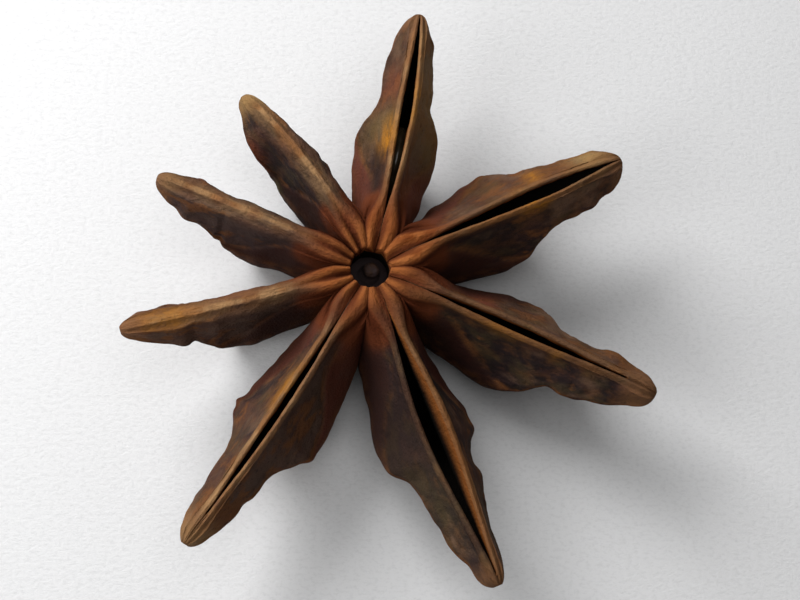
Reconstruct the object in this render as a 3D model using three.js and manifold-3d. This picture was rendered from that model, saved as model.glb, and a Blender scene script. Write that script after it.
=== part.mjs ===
// A dried star anise fruit: eight boat-shaped carpels in a whorl round a short column.
// Millimetres, +Z up. The origin is the centre of the flat stalk scar on the underside, on the plane
// that the fruit rests on. Azimuths are counter-clockwise from +X, seen from above.
//
// Each carpel is a closed skin, deformed from a sphere: its sections run from the suture crest with its
// two lips, down the flank to the belly, and under it to the keel. Five carpels have split along the
// suture, which opens a slit into the seed chamber. Three are narrow, seedless and still shut.
import * as THREE from "three";
import { mergeVertices } from "three/addons/utils/BufferGeometryUtils.js";
import Module from "manifold-3d";

// ---- Driving dimensions ------------------------------------------------------------------------

// The whole fruit
const CREST_HEIGHT = 8.3; // suture crest above the resting plane
const HOLE_RADIUS = 1.28; // pit in the middle of the whorl
const HOLE_FLOOR = 5.7; // height of the pit's floor
const KNOB_RADIUS = 0.5; // tip of the column, inside the pit
const KNOB_TOP = 6.6;
const KNOB_LEAN = [0.16, 0.2]; // how far the knob stands off the pit's middle
const STALK_RADIUS = 1.35; // scar left by the broken stalk
const CORE_RADIUS = 2.3; // solid middle that carries the carpels
const CORE_TOP = 6.6;
const MIDDLE_SAG = 0.45; // how far the crests drop towards the pit
const SAG_REACH = [0.9, 2.4]; // distances from the axis between which they drop
const SCAR_STEP = 0.9; // height of the carpels' underside beside the scar
const SCAR_REACH = [1.5, 4.5]; // distances from the axis between which it comes down to the plane

// Every carpel
const ROOT = 0.35; // where a carpel's skin starts, inside the core
const CROWDING = 1.1; // width as a share of the room between its neighbours, while they press on it
const LIP_WIDTH = 0.42; // pale rim beside the suture
const LIP_DROP = 0.2; // how far a lip's outer edge lies below its crest
const RIB_REACH = [1.8, 5.2]; // distances from the axis between which the ribs turn into lips
const PACKED_REACH = [1.8, 6.5]; // distances between which neighbours stop pressing on each other
const RIB = 0.7; // distance from the suture to the rib that each lip becomes towards the pit
const RIB_GROOVE = 0.34; // depth of the suture's groove between the ribs
const BELLY_SHARE = 0.42; // height of the widest place, as a share of the section's height
const BEAK_UNDERSIDE = 4.7; // height of the keel where the beak starts
const BEAK_RISE = 1.5; // further rise of the keel to the beak's tip
const BEAK_TAPER = 0.36; // share of the beak's width lost by its tip
const TIP_CENTRE_DROP = 0.75; // depth below the crest at which the tip closes
const TIP_START = 0.88; // share of the length at which the tip rounds off
const TIP_BLUNTNESS = 2.6;
const WALL = 0.62; // flank thickness round a seed chamber
const KEEL_WALL = 0.8;
const LIP_DEPTH = 0.6; // depth of the narrow slit before the chamber widens
const RIM_DEPTH = 0.1; // depth at which the slit has its full width
const UNEVENNESS = 0.05; // share by which the flanks' widths waver

// Mesh density
const FLANK_STATIONS = [0, 1, 2, 3, 3.5, 4, 4.5, 5, 6, 7, 8]; // where a flank's spline is sampled
const ALONG = 25;
const TIP_DENSITY = 1.6; // above 1, sections stand closer together towards the tip
const CHAMBER_ALONG = 16;
const CLEARANCE = 3; // how far the chamber's cutter stands above the crest

// One flank of a carpel. shoulder is the share of the length at which it steps in from the belly to the
// beak. nicks are dents in its outline, or bumps where the depth is negative: [place, depth, spread].
const flankSizes = (belly, beak, shoulder, ...nicks) => ({ belly, beak, shoulder, nicks });

// A split carpel's slit: its greatest width, and its start, end and widest place as shares of the length.
// slant is how far each side leans inwards under the lip, as a share of the slit's half-width.
const upright = { ccw: 0, cw: 0 };
const slitSizes = (gape, start, end, widest, slant = upright) => ({ gape, start, end, widest, slant });

// One entry for each carpel, with its flanks counter-clockwise and clockwise of the suture.
// bend is the suture's sideways bow at mid-length, lift is how far the tip rises above the crest.
const CARPELS = [
  {
    azimuth: 25.0, reach: 17.2, bend: 0.05, lift: 0.2,
    ccw: flankSizes(3.45, 1.95, 0.58, [0.34, -0.2, 0.04], [0.63, -0.3, 0.07]),
    cw: flankSizes(2.9, 1.95, 0.62, [0.62, 0.25, 0.045], [0.84, -0.25, 0.03], [0.95, -0.2, 0.04]),
    slit: slitSizes(0.68, 0.1, 0.985, 0.68),
  },
  {
    azimuth: 79.6, reach: 16.7, bend: -0.33, lift: 0.3,
    ccw: flankSizes(2.9, 1.8, 0.58, [0.53, 0.12, 0.04], [0.62, -0.16, 0.035]),
    cw: flankSizes(2.55, 1.5, 0.6, [0.7, -0.12, 0.04]),
    slit: slitSizes(0.56, 0.1, 0.99, 0.62),
  },
  {
    azimuth: 126.6, reach: 13.3, bend: -0.62, lift: 0.1,
    ccw: flankSizes(1.55, 1.35, 0.78, [0.64, 0.15, 0.03], [0.75, -0.18, 0.04], [0.84, -0.34, 0.06]),
    cw: flankSizes(2.0, 1.05, 0.62, [0.45, 0.15, 0.04], [0.57, -0.36, 0.045], [0.67, -0.42, 0.05]),
  },
  {
    azimuth: 157.7, reach: 14.0, bend: -0.12, lift: 0.1,
    ccw: flankSizes(1.65, 1.45, 0.7, [0.38, 0.15, 0.06], [0.82, -0.25, 0.04]),
    cw: flankSizes(1.45, 1.0, 0.6, [0.82, -0.36, 0.055]),
  },
  {
    azimuth: 195.7, reach: 15.4, bend: 0.2, lift: 0.0,
    ccw: flankSizes(1.6, 1.25, 0.67, [0.63, -0.18, 0.03], [0.78, -0.25, 0.06], [0.93, 0.12, 0.04]),
    cw: flankSizes(1.5, 1.2, 0.64, [0.92, -0.15, 0.05]),
  },
  {
    azimuth: 237.5, reach: 19.8, bend: 0.3, lift: 0.1,
    ccw: flankSizes(3.15, 1.55, 0.6, [0.66, -0.16, 0.03], [0.8, 0.18, 0.03]),
    cw: flankSizes(2.8, 1.4, 0.6, [0.525, -0.25, 0.03], [0.66, -0.15, 0.03], [0.9, -0.12, 0.08]),
    slit: slitSizes(0.36, 0.1, 0.89, 0.52),
  },
  {
    azimuth: 291.8, reach: 20.4, bend: -0.1, lift: 0.2,
    ccw: flankSizes(3.0, 1.35, 0.565, [0.47, -0.2, 0.045], [0.575, 0.16, 0.03], [0.67, -0.6, 0.07]),
    cw: flankSizes(
      3.1, 2.1, 0.595, [0.45, -0.2, 0.05], [0.64, 0.34, 0.03], [0.78, 0.28, 0.05], [0.915, 0.4, 0.05],
    ),
    slit: slitSizes(1.3, 0.1, 0.965, 0.5, { ccw: 0.8, cw: 0 }),
  },
  {
    azimuth: 336.6, reach: 18.85, bend: 0.12, lift: 0.0,
    ccw: flankSizes(3.25, 1.5, 0.6, [0.57, 0.25, 0.04], [0.84, -0.28, 0.05], [0.95, -0.2, 0.04]),
    cw: flankSizes(3.05, 2.0, 0.6, [0.73, -0.26, 0.05], [0.93, 0.15, 0.04]),
    slit: slitSizes(0.42, 0.1, 0.885, 0.52),
  },
];

// The seed that shows in the second carpel's slit
const SEED_CARPEL = 1;
const SEED_LENGTH = 4.6;
const SEED_HEIGHT = 3.8;
const SEED_THICKNESS = 1.7;
const SEED_RADIUS_FROM_AXIS = 7.9;
const SEED_TOP_BELOW_CREST = 1.6;

// ---- Small helpers -----------------------------------------------------------------------------

const { clamp, degToRad, lerp, smoothstep } = THREE.MathUtils;

// The smaller of two lengths, with a rounded change from one to the other.
const softMin = (a, b) => (a * b) / (a ** 4 + b ** 4) ** 0.25;

// A smooth unevenness between -1 and 1 along the length, different for each seed number.
const ripple = (x, seed) =>
  0.5 * Math.sin(13 * x + 2.1 * seed) + 0.3 * Math.sin(29 * x + 4.7 * seed) + 0.2 * Math.sin(47 * x + seed);

const wasm = await Module();
wasm.setup();

// A closed three.js geometry as a manifold-3d solid.
function toSolid(geometry) {
  const bare = geometry.clone();
  bare.deleteAttribute("normal");
  bare.deleteAttribute("uv");
  const merged = mergeVertices(bare, 1e-4);
  return new wasm.Manifold(
    new wasm.Mesh({
      numProp: 3,
      vertProperties: merged.attributes.position.array,
      triVerts: new Uint32Array(merged.index.array),
    }),
  );
}

// A manifold-3d solid as a flat-shaded three.js geometry.
function toGeometry(solid) {
  const mesh = solid.getMesh();
  const positions = new Float32Array(mesh.numVert * 3);
  for (let i = 0; i < mesh.numVert; i++) {
    positions.set(mesh.vertProperties.subarray(i * mesh.numProp, i * mesh.numProp + 3), i * 3);
  }
  const geometry = new THREE.BufferGeometry();
  geometry.setAttribute("position", new THREE.BufferAttribute(positions, 3));
  geometry.setIndex(new THREE.BufferAttribute(mesh.triVerts, 1));
  geometry.computeVertexNormals();
  return geometry;
}

// A sphere whose vertices are moved to place(along, around), with both running from 0 to 1.
// along goes from pole to pole. around is a full turn, which starts and ends at the section's top.
function deformedSphere(aroundCount, alongCount, place) {
  const geometry = new THREE.SphereGeometry(1, aroundCount, alongCount);
  const { position, uv } = geometry.attributes;
  const point = new THREE.Vector3();
  for (let i = 0; i < position.count; i++) {
    const along = 1 - uv.getY(i);
    const pole = along < 1e-6 || along > 1 - 1e-6;
    place(clamp(along, 0, 1), pole ? 0 : uv.getX(i) % 1, point);
    position.setXYZ(i, point.x, point.y, point.z);
  }
  return geometry;
}

// ---- A carpel's form ---------------------------------------------------------------------------

// Half-width per millimetre of radius that the neighbours leave to a carpel.
function room(index) {
  const count = CARPELS.length;
  const turn = (from, to) => (CARPELS[to % count].azimuth - CARPELS[from % count].azimuth + 360) % 360;
  const share = (angle) => CROWDING * Math.tan(degToRad(angle / 2));
  return { ccw: share(turn(index, index + 1)), cw: share(turn(index + count - 1, index)) };
}

// Half-width of a flank at a share u of the length, as far as no neighbour presses on it.
function freeWidth({ belly, beak, shoulder }, u) {
  const grown = belly * lerp(0.82, 1, smoothstep(u, 0.25, 0.5));
  const tapered = beak * (1 - BEAK_TAPER * smoothstep(u, 0.75, 1));
  return lerp(grown, tapered, smoothstep(u, shoulder - 0.05, shoulder + 0.08));
}

// How far the dents and bumps of a flank take its outline in at a share u of the length.
function notched({ nicks }, u) {
  const depths = nicks.map(([place, depth, spread]) => depth * Math.exp(-(((u - place) / spread) ** 2)));
  return depths.reduce((sum, depth) => sum + depth, 0);
}

// Sizes of a carpel's section at a share u of its length.
function sectionAt(index, u) {
  const carpel = CARPELS[index];
  const radius = lerp(ROOT, carpel.reach, u);
  const uneven = UNEVENNESS * smoothstep(u, 0.3, 0.5);
  const width = (side, seed) =>
    softMin(room(index)[side] * radius + 0.05, freeWidth(carpel[side], u)) *
      (1 + uneven * ripple(u, seed)) - notched(carpel[side], u);
  const shoulder = (carpel.ccw.shoulder + carpel.cw.shoulder) / 2;
  const top = CREST_HEIGHT - MIDDLE_SAG * (1 - smoothstep(radius, ...SAG_REACH)) + carpel.lift * u ** 3;
  const bottom =
    SCAR_STEP * (1 - smoothstep(radius, ...SCAR_REACH)) +
    BEAK_UNDERSIDE * smoothstep(u, shoulder - 0.14, shoulder + 0.12) +
    BEAK_RISE * smoothstep(u, 0.65, 1);
  const past = clamp((u - TIP_START) / (1 - TIP_START), 0, 1);
  return {
    radius,
    centre: carpel.bend * 4 * u * (1 - u),
    top,
    height: top - bottom,
    ccw: width("ccw", index),
    cw: width("cw", index + 3),
    slant: carpel.slit ? carpel.slit.slant : upright,
    gap: slitWidth(carpel, u) / 2,
    edge: lerp(0.16, 0.8, clamp(u / shoulder, 0, 1)),
    packed: 1 - smoothstep(radius, ...PACKED_REACH),
    near: 1 - smoothstep(radius, ...RIB_REACH),
    rounding: Math.max(0, 1 - past ** TIP_BLUNTNESS) ** 0.5,
  };
}

// Width of the open slit at a share u of the length.
function slitWidth({ slit }, u) {
  if (!slit || u <= slit.start || u >= slit.end) return 0;
  const rising = smoothstep(u, slit.start, slit.widest);
  const falling = 1 - smoothstep(u, slit.widest, slit.end);
  return slit.gape * Math.min(rising, falling) ** 0.8;
}

// One flank of a section, from the suture to the keel, as [distance from the suture, depth] pairs.
function flank(section, side) {
  const { height, gap, edge, packed, near } = section;
  const width = section[side];
  const lip = Math.min(gap + LIP_WIDTH, 0.8 * width);
  const bellyDepth = (1 - BELLY_SHARE) * height;
  const spread = width - lip;
  return [
    [0.0, lerp(gap > 0 ? 0.1 : 0.03, RIB_GROOVE, near)],
    [lerp(lip - 0.5 * LIP_WIDTH, Math.min(0.5 * width, RIB), near), 0.0],
    [lerp(lip, Math.min(0.78 * width, 1.6 * RIB), near), lerp(LIP_DROP, 0.18, near)],
    [lip + lerp(0.06, 0.8, near) * spread, lerp(0.16 * bellyDepth, 0.42, near)],
    [
      lip + lerp(lerp(0.12, 0.86, edge), 0.97, packed) * spread,
      lerp(lerp(0.2, 0.86, edge) * bellyDepth, 0.65, packed),
    ],
    [width, bellyDepth],
    [0.82 * width, bellyDepth + 0.55 * (height - bellyDepth)],
    [0.42 * width, bellyDepth + 0.9 * (height - bellyDepth)],
    [0.0, height],
  ];
}

// The closed outline of a section as a spline that starts and ends at the suture.
function outline(section) {
  const points = (side, sign) =>
    flank(section, side).map(([out, depth]) => new THREE.Vector2(sign * out, -depth));
  return new THREE.SplineCurve([...points("ccw", 1), ...points("cw", -1).reverse().slice(1)]);
}

// The skin of a carpel that points along +X from the fruit's axis.
function carpelSkin(index) {
  const carpel = CARPELS[index];
  const tipHeight = CREST_HEIGHT + carpel.lift - TIP_CENTRE_DROP;
  const last = FLANK_STATIONS.length - 1;
  return deformedSphere(2 * last, ALONG, (along, around, point) => {
    const u = 1 - (1 - along) ** TIP_DENSITY;
    const section = sectionAt(index, u);
    const step = Math.round(around * 2 * last);
    const station = step <= last ? FLANK_STATIONS[step] : 16 - FLANK_STATIONS[2 * last - step];
    const [y, z] = outline(section).getPoint(station / 16).toArray();
    const rounding = section.rounding;
    point.set(
      section.radius,
      section.centre + y * rounding,
      lerp(tipHeight, section.top + z, rounding),
    );
  });
}

// A distance from the suture, at most out, that leaves a wall's thickness to the flank at that depth.
function insideWall(section, side, out, depth) {
  const pairs = flank(section, side);
  const next = pairs.findIndex(([, down], i) => i > 1 && down > depth);
  if (next < 0) return out;
  const [[outA, downA], [outB, downB]] = pairs.slice(next - 1, next + 1);
  const skin = lerp(outA, outB, (depth - downA) / (downB - downA));
  return Math.min(out, skin - WALL);
}

// Half of a chamber's section, from above the crest to its floor, as [distance out, height] pairs.
// ends runs from 0 at both ends of the slit to 1 at its middle.
function chamberHalf(section, side, ends) {
  const gap = Math.max(section.gap, 0.05);
  const neck = gap * (1 - section.slant[side]);
  const lip = LIP_DEPTH + 1.6 * (gap - neck);
  const depth = lerp(LIP_DEPTH * 0.6, Math.max(section.height - KEEL_WALL, lip), ends);
  const widest = Math.max(gap, (section[side] - WALL) * ends);
  const wall = (out, share) => {
    const down = lerp(lip, depth, share);
    return [Math.max(neck, insideWall(section, side, out, down)), -down];
  };
  const [belly, bellyHeight] = wall(widest, 0.5);
  return [
    [0, ends > 1e-3 ? CLEARANCE : -RIM_DEPTH],
    [gap, -RIM_DEPTH],
    [neck, -Math.min(0.75 * lip, depth)],
    wall(lerp(neck, widest, 0.35), 0.12),
    [belly, bellyHeight],
    [0.62 * belly, -lerp(lip, depth, 0.86)],
    [0, -depth],
  ];
}

// The hollow of an open carpel: a slit between the lips that widens into the seed chamber.
function chamber(index) {
  const { start, end } = CARPELS[index].slit;
  return deformedSphere(12, CHAMBER_ALONG, (along, around, point) => {
    const section = sectionAt(index, lerp(start, end, along));
    const ends = Math.sin(Math.PI * clamp(along, 0, 1)) ** 0.5;
    const half = (side, sign) =>
      chamberHalf(section, side, ends).map(([out, z]) => new THREE.Vector2(sign * out, z));
    const ring = [...half("ccw", 1), ...half("cw", -1).reverse().slice(1)];
    const here = ring[Math.round(around * (ring.length - 1))];
    point.set(section.radius, section.centre + here.x, section.top + here.y);
  });
}

// ---- The middle --------------------------------------------------------------------------------

const lathe = (pairs, segments = 24) =>
  new THREE.LatheGeometry(pairs.map(([r, z]) => new THREE.Vector2(r, z)), segments).rotateX(Math.PI / 2);

const core = () =>
  lathe([
    [0, 0],
    [STALK_RADIUS, 0],
    [STALK_RADIUS * 0.92, 0.35],
    [CORE_RADIUS * 0.8, 1.3],
    [CORE_RADIUS, 2.4],
    [CORE_RADIUS, CORE_TOP - 0.6],
    [CORE_RADIUS * 0.7, CORE_TOP],
    [0, CORE_TOP],
  ]);

const pit = () =>
  lathe([
    [0, HOLE_FLOOR],
    [HOLE_RADIUS * 0.72, HOLE_FLOOR],
    [HOLE_RADIUS * 0.92, HOLE_FLOOR + 0.5],
    [HOLE_RADIUS, CREST_HEIGHT - 0.9],
    [HOLE_RADIUS * 1.25, CREST_HEIGHT - 0.35],
    [HOLE_RADIUS * 1.8, CREST_HEIGHT + 0.2],
    [HOLE_RADIUS * 1.8, CREST_HEIGHT + 2],
    [0, CREST_HEIGHT + 2],
  ]);

const knob = () =>
  lathe([
    [0, HOLE_FLOOR - 0.5],
    [KNOB_RADIUS, HOLE_FLOOR - 0.5],
    [KNOB_RADIUS, KNOB_TOP - 0.3],
    [KNOB_RADIUS * 0.6, KNOB_TOP - 0.05],
    [0, KNOB_TOP],
  ], 14).translate(...KNOB_LEAN, 0);

// ---- Assembly ----------------------------------------------------------------------------------

function buildPod() {
  const turned = (geometry, carpel) => toSolid(geometry.rotateZ(degToRad(carpel.azimuth)));
  let solid = toSolid(core());
  CARPELS.forEach((carpel, i) => {
    solid = solid.add(turned(carpelSkin(i), carpel));
  });
  solid = solid.subtract(toSolid(pit())).add(toSolid(knob()));
  CARPELS.forEach((carpel, i) => {
    if (carpel.slit) solid = solid.subtract(turned(chamber(i), carpel));
  });
  return solid;
}

function buildSeed() {
  const carpel = CARPELS[SEED_CARPEL];
  const u = (SEED_RADIUS_FROM_AXIS - ROOT) / (carpel.reach - ROOT);
  const section = sectionAt(SEED_CARPEL, u);
  const geometry = new THREE.SphereGeometry(1, 20, 14);
  geometry.scale(SEED_LENGTH / 2, SEED_THICKNESS / 2, SEED_HEIGHT / 2);
  geometry.translate(
    SEED_RADIUS_FROM_AXIS,
    section.centre,
    section.top - SEED_TOP_BELOW_CREST - SEED_HEIGHT / 2,
  );
  return geometry.rotateZ(degToRad(carpel.azimuth));
}

const husk = new THREE.MeshStandardMaterial({ color: 0x5a3218, roughness: 0.72, metalness: 0 });
const glossySeed = new THREE.MeshStandardMaterial({ color: 0x6b4423, roughness: 0.2, metalness: 0 });

const pod = new THREE.Mesh(toGeometry(buildPod()), husk);
pod.name = "pod";

const seed = new THREE.Mesh(buildSeed(), glossySeed);
seed.name = "seed";

const starAnise = new THREE.Group();
starAnise.add(pod, seed);

export default starAnise;
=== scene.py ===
"""Looks for a dried star anise fruit: eight carpels round a column, and the seed in one of them.

Lengths inside the classes are in millimetres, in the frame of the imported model: +Z up, the origin
in the middle of the stalk scar, azimuths counter-clockwise from +X. A mesh is turned to metres as
its last step.
"""

import logging
import math
from collections.abc import Sequence
from dataclasses import dataclass, field
from enum import Enum
from typing import NamedTuple

import bmesh
import bpy
from mathutils import Matrix, Vector, noise


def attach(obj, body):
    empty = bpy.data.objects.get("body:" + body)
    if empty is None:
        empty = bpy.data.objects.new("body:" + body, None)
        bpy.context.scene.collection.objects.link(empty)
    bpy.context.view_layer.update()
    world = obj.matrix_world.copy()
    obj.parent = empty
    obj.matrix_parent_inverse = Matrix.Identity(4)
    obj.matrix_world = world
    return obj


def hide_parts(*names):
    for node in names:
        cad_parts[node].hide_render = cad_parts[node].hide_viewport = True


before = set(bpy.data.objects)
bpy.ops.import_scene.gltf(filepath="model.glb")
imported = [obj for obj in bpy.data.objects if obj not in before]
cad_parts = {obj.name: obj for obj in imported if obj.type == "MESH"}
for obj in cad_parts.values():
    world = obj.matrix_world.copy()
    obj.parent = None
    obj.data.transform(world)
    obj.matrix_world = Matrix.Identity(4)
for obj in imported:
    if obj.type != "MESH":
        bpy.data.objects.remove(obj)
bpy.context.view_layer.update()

LOG = logging.getLogger("star_anise")
METRES = 0.001

Triple = tuple[float, float, float]
Colour = Triple


# ---- Small maths ---------------------------------------------------------------------------------


def lerp(a: float, b: float, t: float) -> float:
    """The value a share t of the way from a to b."""
    return a + (b - a) * t


def clamp(x: float, low: float = 0.0, high: float = 1.0) -> float:
    """x kept between low and high."""
    return max(low, min(high, x))


def ease(x: float, low: float, high: float) -> float:
    """A smooth step from 0 at low to 1 at high."""
    t = clamp((x - low) / (high - low))
    return t * t * (3 - 2 * t)


def hump(x: float, middle: float, spread: float) -> float:
    """A bell curve of height 1."""
    return math.exp(-(((x - middle) / spread) ** 2))


class Span(NamedTuple):
    """A stretch over which something changes smoothly."""

    low: float
    high: float

    def after(self, x: float) -> float:
        """0 up to the stretch and 1 past it."""
        return ease(x, self.low, self.high)

    def before(self, x: float) -> float:
        """1 up to the stretch and 0 past it."""
        return 1 - ease(x, self.low, self.high)


def soft_min(a: float, b: float) -> float:
    """The smaller of two lengths, with a rounded change from one to the other."""
    return a * b / (a**4 + b**4) ** 0.25


def ripple(x: float, seed: int) -> float:
    """A smooth unevenness between -1 and 1, different for each seed.

    Args:
        x: place along a carpel.
        seed: picks one of the curves.

    Returns:
        The unevenness.
    """
    return (
        0.5 * math.sin(13 * x + 2.1 * seed)
        + 0.3 * math.sin(29 * x + 4.7 * seed)
        + 0.2 * math.sin(47 * x + seed)
    )


def ridges(point: Vector) -> float:
    """Wrinkle height between -1 and 1 at a point, with sharp crests and round valleys."""
    fold = 1 - 2 * abs(noise.noise(point))
    return 0.7 * fold + 0.3 * (1 - 2 * abs(noise.noise(point * 2.3 + Vector((7.1, 3.3, 0)))))


# ---- Shader building -----------------------------------------------------------------------------


class Signal:
    """A shader socket on which Python arithmetic adds Math nodes."""

    def __init__(self, tree: "Shader", socket: bpy.types.NodeSocket) -> None:
        """Wraps one output socket of a shader tree."""
        self.tree = tree
        self.socket = socket

    def math(self, operation: str, *values: "Signal | float") -> "Signal":
        """One Math node.

        Args:
            operation: the node's operation, such as "ADD".
            values: what its sockets hold, in order.

        Returns:
            The node's result.
        """
        return self.tree.add("ShaderNodeMath", {"operation": operation}, dict(enumerate(values)))

    def __add__(self, other: "Signal | float") -> "Signal":
        """self + other."""
        return self.math("ADD", self, other)

    __radd__ = __add__

    def __sub__(self, other: "Signal | float") -> "Signal":
        """self - other."""
        return self.math("SUBTRACT", self, other)

    def __rsub__(self, other: "Signal | float") -> "Signal":
        """other - self."""
        return self.math("SUBTRACT", other, self)

    def __mul__(self, other: "Signal | float") -> "Signal":
        """self * other."""
        return self.math("MULTIPLY", self, other)

    __rmul__ = __mul__

    def max(self, other: "Signal | float") -> "Signal":
        """The larger of two values."""
        return self.math("MAXIMUM", self, other)

    def step(self, low: float, high: float) -> "Signal":
        """A smooth step from 0 at low to 1 at high, or down from 1 where low is above high.

        Args:
            low: the value that gives 0.
            high: the value that gives 1.

        Returns:
            The step's height.
        """
        if low > high:
            return 1 - self.step(high, low)
        return self.tree.add(
            "ShaderNodeMapRange",
            {"interpolation_type": "SMOOTHSTEP"},
            {"Value": self, "From Min": low, "From Max": high},
        )


class Pattern(NamedTuple):
    """Noise on the skin: its frequency along and across the grain, shift, detail, roughness."""

    along: float
    across: float
    shift: Triple
    detail: float
    rough: float


class Shader:
    """A material's node tree, with a Principled shader that its methods feed."""

    def __init__(self, name: str) -> None:
        """Makes an empty material with its shader and output.

        Args:
            name: the material's name.
        """
        self.material = bpy.data.materials.new(name)
        self.material.use_nodes = True
        self.nodes = self.material.node_tree.nodes
        self.nodes.clear()
        self.surface = self.nodes.new("ShaderNodeBsdfPrincipled")
        output = self.nodes.new("ShaderNodeOutputMaterial")
        self.material.node_tree.links.new(self.surface.outputs[0], output.inputs[0])

    def put(self, target: bpy.types.NodeSocket, value: object) -> None:
        """Links a signal into a socket, or sets a constant on it.

        Args:
            target: the socket.
            value: a signal, a number, a colour or a vector.
        """
        if isinstance(value, Signal):
            self.material.node_tree.links.new(value.socket, target)
        elif isinstance(value, (tuple, list)) and target.type == "RGBA":
            target.default_value = (*value[:3], 1.0)
        else:
            target.default_value = value

    def add(
        self,
        kind: str,
        settings: dict[str, object] | None = None,
        values: dict[str | int, object] | None = None,
        output: str | int = 0,
    ) -> Signal:
        """Adds any node.

        Args:
            kind: the node's type name.
            settings: its properties, set first.
            values: constants or signals for its sockets, by name or number.
            output: which of its outputs to return.

        Returns:
            That output as a signal.
        """
        node = self.nodes.new(kind)
        for key, value in (settings or {}).items():
            setattr(node, key, value)
        for key, value in (values or {}).items():
            self.put(node.inputs[key], value)
        return Signal(self, node.outputs[output])

    def attribute(self, name: str) -> Signal:
        """A mesh attribute's number."""
        return self.add("ShaderNodeAttribute", {"attribute_name": name}, output="Fac")

    def object_vector(self, scale: Triple) -> Signal:
        """The object's own coordinates, stretched along each axis."""
        own = self.add("ShaderNodeTexCoord", output="Object")
        return self.add("ShaderNodeVectorMath", {"operation": "MULTIPLY"}, {0: own, 1: scale})

    def noise(self, vector: Signal, detail: float = 3.0, rough: float = 0.55) -> Signal:
        """Fractal noise, about 0.5 on average."""
        values = {"Vector": vector, "Scale": 1.0, "Detail": detail, "Roughness": rough}
        return self.add("ShaderNodeTexNoise", None, values)

    def grain(self, pattern: Pattern) -> Signal:
        """Noise that runs with the skin, by the mesh's grain attribute.

        Args:
            pattern: the noise's sizes.

        Returns:
            The noise.
        """
        own = self.add("ShaderNodeAttribute", {"attribute_name": "grain"}, output="Vector")
        place = self.add(
            "ShaderNodeVectorMath",
            {"operation": "MULTIPLY_ADD"},
            {0: own, 1: (pattern.along, pattern.across, 1.0), 2: pattern.shift},
        )
        return self.noise(place, pattern.detail, pattern.rough)

    def mix(self, a: Signal | Colour, b: Signal | Colour, share: Signal | float) -> Signal:
        """Colour a turned into colour b by a share."""
        return self.add("ShaderNodeMix", {"data_type": "RGBA"}, {0: share, 6: a, 7: b}, 2)

    def layered(
        self, colour: Signal | Colour, *layers: tuple[Signal | Colour, Signal | float]
    ) -> Signal:
        """A colour with others laid over it in turn, each by its share.

        Args:
            colour: the lowest colour.
            layers: each colour above it, with its share.

        Returns:
            The resulting colour.
        """
        for tint, share in layers:
            colour = self.mix(colour, tint, share)
        return colour

    def bump(self, height: Signal, distance: float, strength: float = 0.8) -> Signal:
        """A normal tilted by a height signal, whose unit is distance in metres."""
        values = {"Height": height, "Distance": distance, "Strength": strength}
        return self.add("ShaderNodeBump", None, values)

    def finished(self, values: dict[str, object]) -> bpy.types.Material:
        """Feeds the Principled shader's sockets, by name, and gives the material.

        Args:
            values: what each socket gets.

        Returns:
            The finished material.
        """
        for name, value in values.items():
            self.put(self.surface.inputs[name], value)
        return self.material


# ---- Finishes ------------------------------------------------------------------------------------


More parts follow.
